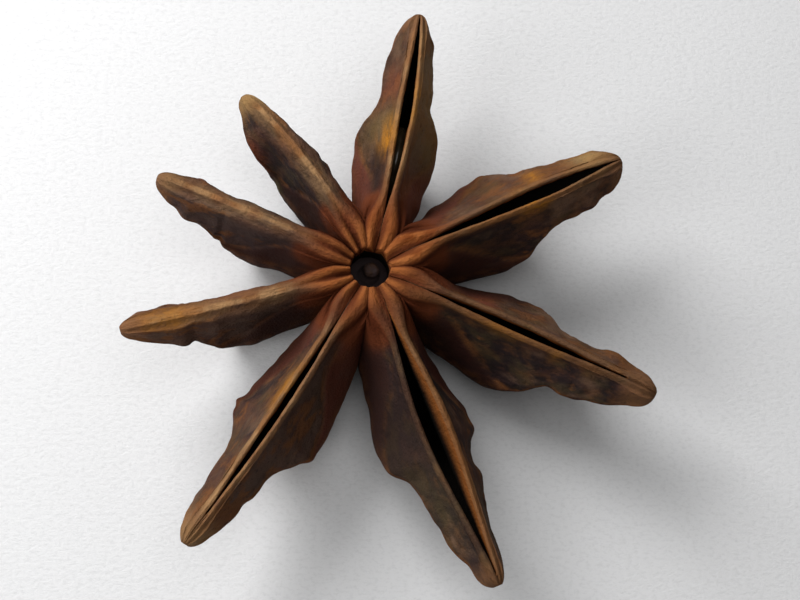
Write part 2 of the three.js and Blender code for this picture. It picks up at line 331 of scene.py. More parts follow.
@dataclass(frozen=True)
class HuskFinish:
    """The carpels' dry, wrinkled skin: dark flanks, pale lips, an orange-brown middle."""

    slate: Colour = (0.020, 0.013, 0.013)
    brown: Colour = (0.086, 0.038, 0.018)
    warm: Colour = (0.170, 0.064, 0.020)
    dusty: Colour = (0.150, 0.085, 0.052)
    plum: Colour = (0.052, 0.024, 0.021)
    moss: Colour = (0.080, 0.055, 0.022)
    ash: Colour = (0.062, 0.040, 0.038)
    ruddy: Colour = (0.140, 0.034, 0.011)
    # the pressed faces' colour in painted shade; the next is the same face with painted light,
    # chosen per flank by the way it faces the light
    pressed: Colour = (0.034, 0.012, 0.009)
    pressed_light: Colour = (0.120, 0.034, 0.020)
    rust: Colour = (0.170, 0.048, 0.024)
    lip: Colour = (0.380, 0.215, 0.096)
    lip_warm: Colour = (0.300, 0.132, 0.046)
    middle: Colour = (0.180, 0.045, 0.009)
    middle_pale: Colour = (0.310, 0.102, 0.028)
    # the next two: red-brown down the ribs' sides, partly its own colour and partly painted shade,
    # and painted shade deep in the grooves between the ribs
    rib_side_red_and_shade: Colour = (0.115, 0.029, 0.010)
    groove: Colour = (0.060, 0.013, 0.004)
    tip: Colour = (0.195, 0.092, 0.042)
    gold: Colour = (0.345, 0.137, 0.0145)
    amber: Colour = (0.200, 0.080, 0.026)
    pale: Colour = (0.360, 0.225, 0.086)
    olive: Colour = (0.110, 0.082, 0.034)
    # dark stains; some flanks' patches of it are painted shade instead
    shade: Colour = (0.023, 0.012, 0.010)
    wall: Colour = (0.170, 0.055, 0.012)
    # painted shade: the near-black laid deep inside the slits and down in the hole, where the real
    # walls are light brown
    painted_chamber_shade: Colour = (0.004, 0.003, 0.002)
    blotch: Pattern = Pattern(0.80, 1.15, (0, 0, 0), 4.0, 0.6)
    patch: Pattern = Pattern(0.38, 0.60, (31, 7, 3), 3.0, 0.5)
    streak: Pattern = Pattern(0.80, 2.4, (5, 11, 2), 3.0, 0.6)
    speck: Pattern = Pattern(3.2, 4.4, (3, 5, 9), 4.0, 0.65)
    hue: Pattern = Pattern(0.55, 0.75, (17, 3, 8), 3.0, 0.5)
    fine: Pattern = Pattern(1.9, 3.4, (2, 9, 4), 5.0, 0.6)
    grit: Pattern = Pattern(7.0, 8.0, (8, 1, 6), 3.0, 0.6)
    bump: float = 0.00025

    def make(self) -> bpy.types.Material:
        """Builds the material from the carpels' own attributes.

        Returns:
            The material.
        """
        s = Shader("husk")
        blotch, patch, streak, speck = (
            s.grain(pattern) for pattern in (self.blotch, self.patch, self.streak, self.speck)
        )
        inside = s.attribute("inside")
        colour = self._flanks(s, blotch, patch, streak)
        colour = self._stains(s, colour, blotch, speck)
        # Inside the slits and the hole the skin turns to the wall's brown near the lips, then to
        # painted shade deeper in.
        colour = s.layered(
            self._crest(s, colour, patch, streak, speck),
            (self.wall, inside.step(0.01, 0.06)),
            (self.painted_chamber_shade, inside.step(0.06, 0.50)),
        )
        height = s.grain(self.fine) * (1 - s.attribute("contact") * 0.5) + s.grain(self.grit) * 0.4
        return s.finished({
            "Base Color": colour,
            "Roughness": 0.72 + streak * 0.12 - s.attribute("lip") * 0.10,
            "Specular IOR Level": 0.06,
            "Normal": s.bump(height, self.bump),
        })

    def _flanks(self, s: Shader, blotch: Signal, patch: Signal, streak: Signal) -> Signal:
        """The flanks' dark, mottled skin, redder where neighbours pressed on each other, with
        painted light
        and shade: each flank lighter or darker by its tone, and each pressed face in a lit or a
        shaded copy of its colour.

        Args:
            s: the material's shader.
            blotch: blotchy noise.
            patch: broad noise.
            streak: noise drawn out lengthways.

        Returns:
            The skin's colour.
        """
        # tone is the flank's own brown mixed with painted light and shade for the way the flank
        # faces the light
        tone = s.attribute("tone") * 0.26 - 0.13
        # how much painted light, rather than painted shade, the pressed faces and the red near the
        # middle get
        painted_light = s.attribute("flush")
        hue = s.grain(self.hue)
        brown = (blotch * 0.88 + streak * 0.12 + tone).step(0.37, 0.63)
        warmth = (patch * 0.5 + blotch * 0.5 - tone * 0.8).step(0.46, 0.36)
        pressed = s.attribute("contact") * (blotch * 0.7 + 0.45).step(0.2, 1.0)
        ruddy = s.attribute("ruddy") * (blotch * 0.8 + painted_light * 0.5)
        return s.layered(
            self.slate,
            (self.brown, brown),
            (self.plum, (hue + tone * 0.5).step(0.46, 0.70) * 0.5),
            (self.moss, hue.step(0.52, 0.32) * 0.35),
            (self.dusty, (patch + tone).step(0.50, 0.70) * 0.6),
            (self.ash, s.attribute("dust") * (0.3 + blotch * 0.9)),
            (self.warm, warmth * 0.65),
            # each pressed face and the red near the middle as a mix of a shaded and a lit copy:
            # painted light and shade
            (s.mix(self.pressed, self.pressed_light, painted_light), pressed),
            (s.mix(self.pressed, self.ruddy, 0.25 + painted_light * 0.75), ruddy),
        )

    def _stains(self, s: Shader, colour: Signal, blotch: Signal, speck: Signal) -> Signal:
        """A painted highlight along the belly's edge and the crease, stains, the tips and a few
        dark specks.

        Args:
            s: the material's shader.
            colour: the skin's colour.
            blotch: blotchy noise.
            speck: fine noise.

        Returns:
            The stained colour.
        """
        bright = s.attribute("lip").max(s.attribute("hub"))
        return s.layered(
            colour,
            # painted highlight: warm along the belly's edge and the crease's ridge
            (self.warm, s.attribute("rim") * blotch.step(0.35, 0.65) * 0.6),
            (self.rust, s.attribute("rust") * 0.85),
            (self.olive, s.attribute("olive") * 0.8),
            # dark stains, and painted shade where a patch stands for shade
            (self.shade, s.attribute("shade") * 0.9),
            (self.tip, s.attribute("tip") * (0.35 + blotch * 0.7)),
            (self.pale, s.attribute("pale") * (0.4 + blotch * 0.6)),
            (self.slate, speck.step(0.56, 0.70) * (1 - bright) * 0.5),
        )

    def _crest(
        self, s: Shader, colour: Signal, patch: Signal, streak: Signal, speck: Signal
    ) -> Signal:
        """The orange-brown middle, the pale lips and the gold spots beside them.

        Args:
            s: the material's shader.
            colour: the stained skin's colour.
            patch: broad noise.
            streak: noise drawn out lengthways.
            speck: fine noise.

        Returns:
            The colour with the middle and the lips.
        """
        glow = (streak * 0.6 + patch * 0.4).step(0.44, 0.62) * s.attribute("glow")
        groove = s.attribute("groove")
        return s.layered(
            colour,
            (
                s.mix(self.middle, self.middle_pale, glow + s.attribute("pit") * 0.65),
                s.attribute("hub") * (0.5 + streak * 0.8).max(0.6),
            ),
            (
                s.mix(self.lip, self.lip_warm, patch.step(0.42, 0.58)),
                s.attribute("lip") * (0.3 + streak * 0.95).step(0.3, 1.0),
            ),
            # darker down the ribs' sides and into the grooves near the middle: painted shade over
            # some real red-brown
            (self.rib_side_red_and_shade, groove.step(0.02, 0.32) * 0.85),
            (self.groove, groove.step(0.12, 0.85) * 0.9),
            (self.amber, s.attribute("amber")),
            (self.gold, s.attribute("gold") * (streak * 0.7 + speck * 0.3).step(0.30, 0.60)),
        )


@dataclass(frozen=True)
class SeedFinish:
    """A hard, polished seed coat."""

    coat: Colour = (0.085, 0.062, 0.034)
    shade: Colour = (0.035, 0.022, 0.013)

    def make(self) -> bpy.types.Material:
        """Builds the material from the seed's own coordinates.

        Returns:
            The material.
        """
        s = Shader("seed_coat")
        cloud = s.noise(s.object_vector((600, 600, 600)))
        return s.finished({
            "Base Color": s.mix(self.coat, self.shade, cloud.step(0.35, 0.65)),
            "Roughness": 0.16 + cloud * 0.08,
            "Coat Weight": 0.4,
        })


@dataclass(frozen=True)
class ColumnFinish:
    """The column's dull, fibrous wood, with a paler broken scar underneath."""

    bark: Colour = (0.042, 0.029, 0.029)
    knob: Colour = (0.052, 0.027, 0.016)
    scar: Colour = (0.23, 0.13, 0.065)
    bump: float = 0.00015

    def make(self) -> bpy.types.Material:
        """Builds the material from the column's own coordinates and marks.

        Returns:
            The material.
        """
        s = Shader("column_wood")
        fibre = s.noise(s.object_vector((2200, 2200, 700)), 4.0)
        colour = s.layered(
            self.bark,
            (self.knob, s.attribute("knob") * fibre.step(0.3, 0.7)),
            (self.scar, s.attribute("scar") * fibre.step(0.25, 0.75)),
        )
        return s.finished({
            "Base Color": colour,
            "Roughness": 0.75 + fibre * 0.15,
            "Specular IOR Level": 0.08,
            "Normal": s.bump(fibre, self.bump),
        })


@dataclass(frozen=True)
class ClothFinish:
    """A plain pale floor with a very fine weave."""

    thread: Colour = (0.73, 0.73, 0.735)
    shade: Colour = (0.67, 0.67, 0.675)
    bump: float = 0.00010

    def make(self) -> bpy.types.Material:
        """Builds the material from the floor's own coordinates.

        Returns:
            The material.
        """
        s = Shader("pale_cloth")
        weave = s.noise(s.object_vector((2600, 4200, 1)), rough=0.7)
        return s.finished({
            "Base Color": s.mix(self.shade, self.thread, weave.step(0.30, 0.55)),
            "Roughness": 0.92,
            "Normal": s.bump(weave, self.bump, 0.4),
        })


# ---- The fruit's shared sizes --------------------------------------------------------------------


@dataclass(frozen=True)
class Form:
    """Sizes that every carpel shares, in millimetres, and shares of other sizes.

    trace, groove and hub_groove are the shut suture's depths beyond the slit, along it and near the
    fruit's middle. The cap closes a carpel in the hole's wall.
    """

    crest: float = 8.27
    crest_dip: float = 0.45
    underside_rise: float = 0.9
    skin: float = 0.05
    hole: float = 1.28
    root: float = 0.35
    cap_inset: float = 0.08
    cap_length: float = 0.10
    cap_drop: float = 1.2
    tip_drop: float = 0.75
    trace: float = 0.014
    groove: float = 0.14
    hub_groove: float = 0.40
    uneven: float = 0.05
    crowding: float = 1.1
    lip_width: float = 0.42
    lip_drop: float = 0.2
    rib: float = 0.7
    belly_share: float = 0.42
    beak_underside: float = 4.7
    beak_rise: float = 1.5
    beak_taper: float = 0.36
    wall: float = 0.62
    keel_wall: float = 0.8
    lip_depth: float = 0.6


@dataclass(frozen=True)
class Zones:
    """Where form and colour change near the fruit's middle, by the distance from its axis."""

    # pit and pit_depth bound the painted shade down in the hole.
    pit: Span = Span(1.30, 1.45)
    pit_depth: Span = Span(0.3, 1.2)
    pit_edge: Span = Span(1.6, 3.0)
    dip: Span = Span(0.9, 2.4)
    arch: Span = Span(1.2, 3.2)
    underside: Span = Span(1.5, 4.5)
    near: Span = Span(1.8, 5.2)
    packed: Span = Span(1.8, 6.5)
    hub: Span = Span(2.8, 5.4)
    ribs: Span = Span(2.6, 5.6)
    ruddy: Span = Span(3.6, 7.0)
    lips: Span = Span(3.0, 6.5)
    calm: Span = Span(2.5, 7.0)


@dataclass(frozen=True)
class Relief:
    """Heights of the skin's wrinkles and creases in millimetres, and how dense each kind is.

    A density is its frequency along the carpel, round it and from one side to the other. pressed
    is the share of the wrinkles that a face pressed by its neighbour loses.
    """

    wrinkle: float = 0.070
    wrinkle_density: Triple = (0.75, 1.05, 1)
    streak: float = 0.030
    streak_density: Triple = (1.10, 2.4, 1)
    swell: float = 0.075
    swell_density: Triple = (0.45, 0.35, 1)
    rim: float = 0.11
    crease: float = 0.05
    lip: float = 0.022
    along: float = 1.15
    pressed: float = 0.75


FORM = Form()
ZONES = Zones()
RELIEF = Relief()


class Side(Enum):
    """Which flank of a carpel, seen from above."""

    CCW = 1
    CW = -1


class Tint(Enum):
    """A patch's colour, by the name of the mesh attribute that holds it."""

    GOLD = "gold"
    RUST = "rust"
    OLIVE = "olive"
    SHADE = "shade"
    PALE = "pale"
    AMBER = "amber"


@dataclass(frozen=True)
class Patch:
    """A patch of another colour on a flank.

    reach is its distance from the fruit's axis and length its half-length along the carpel, in
    millimetres. share is its place between the lip, 0, and the belly, 1, and breadth its
    half-width.
    """

    tint: Tint
    side: Side
    reach: float
    share: float
    length: float
    breadth: float
    strength: float = 1.0


@dataclass(frozen=True)
class Nick:
    """A notch in a flank's outline, or a bump where depth is negative."""

    place: float
    depth: float
    spread: float = 0.02


@dataclass(frozen=True)
class Flank:
    """One flank of a carpel: its half-widths and the share of the length at which it steps in.

    From 0 to 1, tone is how brown the flank is, partly its own colour and partly painted light and
    shade for the way the flank faces the light; lip is how pale its lip is; the next number is how
    much painted light, lighter and redder, the face that pressed on the neighbour gets instead of
    painted shade; and dust is how grey the whole skin is.
    """

    belly: float
    beak: float
    shoulder: float
    nicks: tuple[Nick, ...] = ()
    tone: float = 0.5
    lip: float = 1.0
    flush: float = 0.2
    dust: float = 0.0

    def half_width(self, u: float) -> float:
        """Half-width at a share u of the length, as far as no neighbour presses on the flank.

        Args:
            u: share of the carpel's length.

        Returns:
            The half-width in millimetres.
        """
        grown = self.belly * lerp(0.82, 1, ease(u, 0.25, 0.5))
        narrowing = ease(u, self.shoulder - 0.05, self.shoulder + 0.08)
        beak = self.beak * (1 - FORM.beak_taper * ease(u, 0.75, 1))
        return lerp(grown, beak, narrowing)

    def notched(self, u: float) -> float:
        """How far the outline's notches and bumps take it in at a share u of the length."""
        return sum(nick.depth * hump(u, nick.place, nick.spread) for nick in self.nicks)


@dataclass(frozen=True)
class Slit:
    """The opening along a split carpel's suture: its greatest width, and shares of the length.

    slants says how far each side of it leans inwards under the lip, as a share of its half-width.
    """

    gape: float
    start: float
    end: float
    widest: float
    slants: dict[Side, float] = field(default_factory=dict)

    def width(self, u: float) -> float:
        """Width at a share u of the length.

        Args:
            u: share of the carpel's length.

        Returns:
            The width in millimetres.
        """
        if not self.start < u < self.end:
            return 0.0
        rising = ease(u, self.start, self.widest)
        falling = 1 - ease(u, self.widest, self.end)
        return self.gape * min(rising, falling) ** 0.8

    def openness(self, u: float) -> float:
        """How far the seed chamber has opened under the lips, from 0 to 1."""
        t = clamp((u - self.start) / (self.end - self.start))
        return math.sin(math.pi * t) ** 0.5 if 0 < t < 1 else 0.0


class Station(NamedTuple):
    """A control point of a section: distance out from the suture, depth, and what lies there."""

    out: float
    down: float
    share: float = 0.0
    lip: float = 0.0
    inside: float = 0.0


class Mark(NamedTuple):
    """What a carpel's skin is at one vertex."""

    radius: float
    u: float
    arc: float
    down: float
    lip: float
    inside: float
    share: float
    side: int


# A point of a section: its place to the side, its height under the crest (negative) and its mark.
Point = tuple[float, float, Mark]


@dataclass(frozen=True)
class Section:
    """A carpel's cross-section at one place along it, in millimetres.

    From 0 to 1, openness says how far the chamber has opened, edge and packed how high and how full
    the flank stands, near how close the fruit's middle is, seam whether the slit goes on here, brow
    how wide the flank starts under the lip, and rounding how much of the section the tip leaves.
    """

    radius: float
    centre: float
    top: float
    height: float
    widths: dict[Side, float]
    slants: dict[Side, float]
    gap: float
    openness: float
    edge: float
    packed: float
    near: float
    seam: float
    brow: float
    rounding: float
    split: bool

    def chamber(self, side: Side, outer: Sequence[Station]) -> list[Station]:
        """Control points from the middle of the seed chamber's floor up to the lip's inner edge.

        Args:
            side: the flank behind which they lie.
            outer: that flank's own control points.

        Returns:
            The control points, the floor's first.
        """
        near, openness = self.near, self.openness
        open_depth = max(self.height - FORM.keel_wall, FORM.lip_depth)
        groove = lerp(FORM.trace, FORM.groove, self.seam)
        depth = lerp(lerp(groove, FORM.hub_groove, near), open_depth, openness)
        slant = self.slants[side] * self.gap
        shut_lip = lerp(0.57 * groove, 0.30, near)
        lip = lerp(shut_lip, FORM.lip_depth + 1.6 * slant, openness)
        room = max(self.gap, (self.widths[side] - FORM.wall) * openness)
        neck = self.gap - slant
        # The third number of each waist point, and the neck's below, is how much painted shade the
        # chamber's skin gets there.
        waist = [
            (room, lerp(lip, depth, 0.5), 1.0),
            (lerp(neck, room, 0.35), lerp(lip, depth, 0.12), 0.5),
        ]
        walls = [
            Station(self._inside(outer, down, out, neck), down, inside=painted_chamber_shade * self.seam)
            for out, down, painted_chamber_shade in waist
        ]
        # painted shade at the slit's neck, deeper where the wall leans in
        neck_painted_shade = lerp(0.16, 0.75, self.slants[side]) * openness
        rim = lerp(0.16 * FORM.lip_depth * openness + 0.01, 0.28, near)
        return [
            Station(0.0, depth, inside=self.seam),
            Station(0.62 * walls[0].out, lerp(lip, depth, 0.86), inside=self.seam),
            *walls,
            Station(neck, 0.75 * lip, inside=neck_painted_shade),
            Station(self.gap + 0.03, rim, lip=0.8),
        ]

    def _inside(self, outer: Sequence[Station], down: float, out: float, least: float) -> float:
        """A distance from the suture that leaves a wall's thickness to the flank at that depth.

        Args:
            outer: the flank's control points.
            down: depth under the crest.
            out: the distance wanted.
            least: the smallest distance allowed.

        Returns:
            The distance.
        """
        for a, b in zip(outer, outer[1:]):
            if a.down <= down < b.down:
                skin = lerp(a.out, b.out, (down - a.down) / (b.down - a.down))
                return max(least, min(out, skin - FORM.wall))
        return out

    def flank(self, side: Side) -> list[Station]:
        """Control points from the suture down one flank to the keel.

        The chamber's or the seam's come first. The lip's shoulder, crest and edge, the brow and the
        waist under it, the belly and three points of the underside follow.

        Args:
            side: which flank.

        Returns:
            The control points.
        """
        width, near = self.widths[side], self.near
        lip = min(self.gap + FORM.lip_width, 0.8 * width)
        belly = (1 - FORM.belly_share) * self.height
        spread = width - lip
        under = self.height - belly
        crest = lerp(lip - 0.5 * FORM.lip_width, min(0.5 * width, FORM.rib), near)
        edge = lerp(lip, min(0.78 * width, 1.6 * FORM.rib), near)
        brow = lip + lerp(self.brow, 0.8, near) * spread
        waist = lip + lerp(lerp(0.12, 0.86, self.edge), 0.97, self.packed) * spread
        waist_down = lerp(lerp(0.2, 0.86, self.edge) * belly, 0.65, self.packed)
        crest_pale, edge_pale = (1.0, 0.65) if self.split else (0.62, 0.35)
        outer = [
            Station(crest, 0.0, 0.0, crest_pale),
            Station(edge, lerp(FORM.lip_drop, 0.18, near), 0.02, edge_pale),
            Station(brow, lerp(0.16 * belly, 0.42, near), 0.16),
            Station(waist, waist_down, 0.5),
            Station(width, belly, 1.0),
            Station(0.82 * width, belly + 0.55 * under, 1.4),
            Station(0.42 * width, belly + 0.9 * under, 1.8),
            Station(0.0, self.height, 2.0),
        ]
        if self.split:
            inner = self.chamber(side, outer)
        else:
            inner = [Station(0.0, lerp(0.0, 0.34, near), lip=1.0)]
        shoulder = Station(lerp(inner[-1].out, crest, 0.5), lerp(0.004, 0.13, near), lip=0.9)
        return [*inner, shoulder, *outer]


@dataclass(frozen=True)
class Sampling:
    """How many points each span between control points gets, from the suture to the keel."""

    chamber: tuple[int, ...] = (3, 4, 6, 4, 4, 4)
    shut: tuple[int, ...] = (5,)
    outside: tuple[int, ...] = (3, 5, 5, 10, 11, 9, 5, 5)
    cap: int = 9
    body: int = 210
    tip_bias: float = 1.35

    @property
    def rim(self) -> int:
        """Points from the chamber's floor up to the lip's inner edge."""
        return sum(self.chamber[:5])

    def spans(self, split: bool) -> tuple[int, ...]:
        """Points in each span of one flank."""
        return (self.chamber if split else self.shut) + self.outside


SAMPLING = Sampling()


# ---- A carpel ------------------------------------------------------------------------------------


@dataclass
class Carpel:
    """One boat-shaped carpel, built along +X and then turned to its azimuth.

    number picks its own noise. bend and lift say how far it curves to the side and how far its tip
    rises, and bluntness how round the tip is. From 0 to about 1, foot says how orange it is near
    the fruit's middle. room is the half-width that its neighbours leave each flank, as a share of
    the distance from the fruit's axis.
    """

    name: str
    number: int
    azimuth: float
    reach: float
    bend: float
    lift: float
    ccw: Flank
    cw: Flank
    slit: Slit | None = None
    tip_start: float = 0.88
    bluntness: float = 2.6
    foot: float = 0.8
    patches: tuple[Patch, ...] = ()
    room: dict[Side, float] = field(default_factory=dict)

    def along(self, radius: float) -> float:
        """Share of the length at a distance from the axis."""
        return (radius - FORM.root) / (self.reach - FORM.root)

    def section(self, radius: float) -> Section:
        """The cross-section at a distance from the fruit's axis.

        Args:
            radius: distance from the axis in millimetres.

        Returns:
            The section's sizes there.
        """
        u = self.along(radius)
        shoulder = (self.ccw.shoulder + self.cw.shoulder) / 2
        top = FORM.crest - FORM.crest_dip * ZONES.dip.before(radius) + self.lift * u**3
        bottom = (
            FORM.underside_rise * ZONES.underside.before(radius)
            + FORM.beak_underside * ease(u, shoulder - 0.14, shoulder + 0.12)
            + FORM.beak_rise * ease(u, 0.65, 1)
        )
        uneven = FORM.uneven * ease(u, 0.3, 0.5)
        widths = {
            side: soft_min(self.room[side] * radius + 0.05, flank.half_width(u))
            * (1 + uneven * ripple(u, self.number + shift))
            - flank.notched(u)
            for side, flank, shift in ((Side.CCW, self.ccw, 0), (Side.CW, self.cw, 3))
        }
        past = clamp((u - self.tip_start) / (1 - self.tip_start))
        return Section(
            radius=radius,
            centre=self.bend * 4 * u * (1 - u),
            top=top,
            height=top - bottom,
            widths=widths,
            slants={side: self.slit.slants.get(side, 0.0) if self.slit else 0.0 for side in Side},
            gap=max(self.slit.width(u) / 2, 0.02) if self.slit else 0.0,
            openness=self.slit.openness(u) if self.slit else 0.0,
            edge=lerp(0.16, 0.8, clamp(u / shoulder)),
            packed=ZONES.packed.before(radius),
            near=ZONES.near.before(radius),
            seam=1 - ease(u, self.slit.end - 0.03, self.slit.end + 0.01) if self.slit else 1.0,
            brow=lerp(0.06, 0.4, ease(u, 0.84, 0.97)) if self.slit else 0.4,
            rounding=max(0.0, 1 - past**self.bluntness) ** 0.5,
            split=self.slit is not None,
        )

    def ring(self, section: Section) -> list[Point]:
        """Points round one section, starting at the suture and going down the CCW flank.

        Args:
            section: the cross-section.

        Returns:
            The points.
        """
        ccw, cw = section.flank(Side.CCW), section.flank(Side.CW)
        loop = [(s.out, -s.down, s) for s in ccw] + [(-s.out, -s.down, s) for s in cw[-2:0:-1]]
        spans = SAMPLING.spans(section.split)
        counts = spans + spans[::-1]
        points = []
        for i, count in enumerate(counts):
            around = [loop[(i + k) % len(loop)] for k in (-1, 0, 1, 2)]
            side = 1 if i < len(spans) else -1
            for step in range(count):
                points.append(self._between(around, step / count, section.radius, side))
        return self._measured(points)

    def _between(
        self, around: Sequence[tuple[float, float, Station]], t: float, radius: float, side: int
    ) -> Point:
        """A point on the spline between the middle two of four control points.

        Args:
            around: place to the side, height and station of each control point.
            t: share of the way between the middle two.
            radius: distance from the axis.
            side: 1 on the CCW flank, -1 on the CW one.

        Returns:
            The point.
        """
        weights = (
            (-t + 2 * t * t - t**3) / 2,
            (2 - 5 * t * t + 3 * t**3) / 2,
            (t + 4 * t * t - 3 * t**3) / 2,
            (-t * t + t**3) / 2,
        )
        y = sum(w * p[0] for w, p in zip(weights, around))
        z = sum(w * p[1] for w, p in zip(weights, around))
        a, b = around[1][2], around[2][2]
        lip, inside, share = (
            lerp(*pair, t) for pair in ((a.lip, b.lip), (a.inside, b.inside), (a.share, b.share))
        )
        return y, z, Mark(radius, self.along(radius), 0.0, -z, lip, inside, share, side)

    def _measured(self, points: list[Point]) -> list[Point]:
        """Gives each mark its distance round the section from the suture's rim.

        Both flanks' distances end on the same value at the keel, so that patterns meet there.

        Args:
            points: the section's points, in order.

        Returns:
            The points with their distances.
        """
        count = len(points)
        keel = max(range(count), key=lambda i: points[i][2].share)
        rim = SAMPLING.rim if self.slit else 0
        measured = list(points)
        lengths = {}
        for start, step in ((rim, 1), (count - rim, -1)):
            arcs = {start % count: 0.0}
            for way, end in ((step, keel), (-step, (start - step * rim) % count)):
                i, total = start % count, 0.0
                while i != end:
                    here, following = points[i], points[(i + way) % count]
                    total += math.hypot(here[0] - following[0], here[1] - following[1])
                    i = (i + way) % count
                    arcs[i] = total * way * step
            lengths[step] = arcs
        mean = (lengths[1][keel] + lengths[-1][keel]) / 2
        for arcs in lengths.values():
            whole = arcs[keel]
            for i, arc in arcs.items():
                shift = (mean - whole) * (arc / whole) ** 2
                y, z, mark = points[i]
                measured[i] = (y, z, mark._replace(arc=arc + shift))
        return measured

    def radii(self) -> list[tuple[float, float]]:
        """Distance from the axis and size of each ring, from the hole's wall to the tip.

        Returns:
            Distance and size, from 0 to 1, of each ring.
        """
        rings = []
        for i in range(SAMPLING.cap + 1):
            t = i / SAMPLING.cap
            place = FORM.hole - FORM.cap_inset + FORM.cap_length * t**4
            rings.append((place, math.sin(t * math.pi / 2) ** 0.8))
        start = rings[-1][0]
        for i in range(1, SAMPLING.body + 1):
            t = 1 - (1 - i / SAMPLING.body) ** SAMPLING.tip_bias
            rings.append((lerp(start, self.reach - FORM.skin, t), 1.0))
        return rings

    def grain(self, mark: Mark) -> Vector:
        """Where a vertex lies in the noise that its wrinkles and colours are made from.

        The flanks of a closed carpel meet at both of their ends, those of a split one at the keel
        only.
        """
        apart = (2 - mark.share) if self.slit else 2 * math.sin(math.pi * clamp(mark.share / 2))
        return Vector((mark.radius, mark.arc, 10.0 * self.number + mark.side * apart))

    def relief(self, mark: Mark) -> float:
        """How far wrinkles and creases lift the skin at a vertex, in millimetres.

        Args:
            mark: what the skin is at the vertex.

        Returns:
            The height along the normal.
        """
        outer = (1 - mark.inside) * (1 - mark.lip)
        calm = ZONES.calm.after(mark.radius) * (1 - 0.85 * ease(mark.u, 0.93, 1.0))
        spot = self.grain(mark)
        smooth = 1 - RELIEF.pressed * self.contact(mark)
        wrinkle = RELIEF.wrinkle * ridges(spot * Vector(RELIEF.wrinkle_density))
        streak = RELIEF.streak * ridges(spot * Vector(RELIEF.streak_density) + Vector((0, 0, 3)))
        swell = RELIEF.swell * noise.noise(spot * Vector(RELIEF.swell_density) + Vector((0, 0, 5)))
        along = Vector((RELIEF.along * mark.radius, 0.0, 10.0 * self.number + mark.side))
        rim = RELIEF.rim * noise.noise(along) * hump(mark.share, 1.0, 0.22)
        crease = RELIEF.crease * self.crease(mark)
        lip = RELIEF.lip * mark.lip * noise.noise(along + Vector((0, 0, 7)))
        return outer * calm * ((wrinkle + streak) * smooth + swell + rim + crease) + lip * calm

    def boundary(self, mark: Mark) -> float:
        """Share of the flank at which the face that pressed on the neighbour starts.

        Args:
            mark: what the skin is at the vertex.

        Returns:
            The share, from 0 at the lip to 1 at the belly.
        """
        flank = self.ccw if mark.side > 0 else self.cw
        sway = 0.08 * noise.noise(Vector((0.5 * mark.radius, 2.0 * mark.side, self.number)))
        along = clamp((mark.u - 0.08) / (flank.shoulder - 0.08))
        return lerp(0.12, 1.0, along**1.8) + sway

    def contact(self, mark: Mark) -> float:
        """How much a vertex belongs to the smooth face that pressed on the neighbour.

        Args:
            mark: what the skin is at the vertex.

        Returns:
            A value from 0 to 1.
        """
        if mark.inside > 0 or mark.share >= 1.5:
            return 0.0
        start = self.boundary(mark)
        return ease(mark.share, start, start + 0.10) * (1 - ease(mark.share, 1.05, 1.5))

    def crease(self, mark: Mark) -> float:
        """A fine ridge along the edge of that face."""
        return hump(mark.share, self.boundary(mark), 0.05) * (1 - ease(mark.share, 0.95, 1.1))

    def tints(self, mark: Mark) -> dict[str, float]:
        """Values of the carpel's mesh attributes at a vertex.

        Args:
            mark: what the skin is at the vertex.

        Returns:
            The values, by the attributes' names.
        """
        flank = self.ccw if mark.side > 0 else self.cw
        outside = 1.0 if mark.inside <= 0 else 0.0
        sway = 1.1 * noise.noise(self.grain(mark) * Vector((0, 0.9, 1)))
        hub = ZONES.hub.before(mark.radius + sway + 0.9 * mark.share)
        # painted shade down in the hole's pit, past pit_depth under the crest
        pit = ZONES.pit.before(mark.radius) * ZONES.pit_depth.after(mark.down)
        pit_edge = ZONES.pit_edge.before(mark.radius)
        end = min(self.slit.end - 0.03, 0.9) if self.slit else 0.88
        tip = ease(mark.u, end, end + 0.08)
        values = {
            "lip": mark.lip * flank.lip * ZONES.lips.after(mark.radius) * (1 - 0.85 * tip),
            # how much painted shade the skin gets, in the chamber and down in the hole
            "inside": max(mark.inside, pit),
            "contact": self.contact(mark),
            "hub": hub * outside * lerp(self.foot, 1.0, pit_edge),
            "pit": pit_edge,
            "glow": 0.8 * self.foot**2,
            "ruddy": outside
            * self.foot
            * ZONES.ruddy.before(mark.radius + sway)
            * (1 - 0.6 * ease(mark.share, 0.2, 0.8)),
            # depth between the ribs near the middle, where painted shade goes
            "groove": outside
            * ZONES.ribs.before(mark.radius)
            * (1 - ease(mark.share, 0.25, 0.8))
            * ease(mark.down, 0.0, 0.5),
            "tip": outside * tip,
            # the flank's brown with its painted light and shade, browner towards the tip
            "tone": clamp(flank.tone + 0.25 * (ease(mark.u, 0.35, 0.8) - 0.5)),
            # painted light on the pressed face, per flank, against painted shade
            "flush": flank.flush,
            "dust": flank.dust,
            # where the painted highlight goes, along the belly's edge and the crease
            "rim": outside * (hump(mark.share, 1.0, 0.14) + self.crease(mark)),
        }
        for tint in Tint:
            values[tint.value] = outside * self._stain(mark, tint)
        return values

    def _stain(self, mark: Mark, tint: Tint) -> float:
        """How much a vertex lies in patches of one colour.

        Args:
            mark: what the skin is at the vertex.
            tint: the patches' colour.

        Returns:
            A value from 0 to 1.
        """
        total = 0.0
        for patch in self.patches:
            if patch.tint is tint and patch.side.value == mark.side:
                along = hump(mark.radius, patch.reach, patch.length)
                total += patch.strength * along * hump(mark.share, patch.share, patch.breadth)
        return clamp(total)

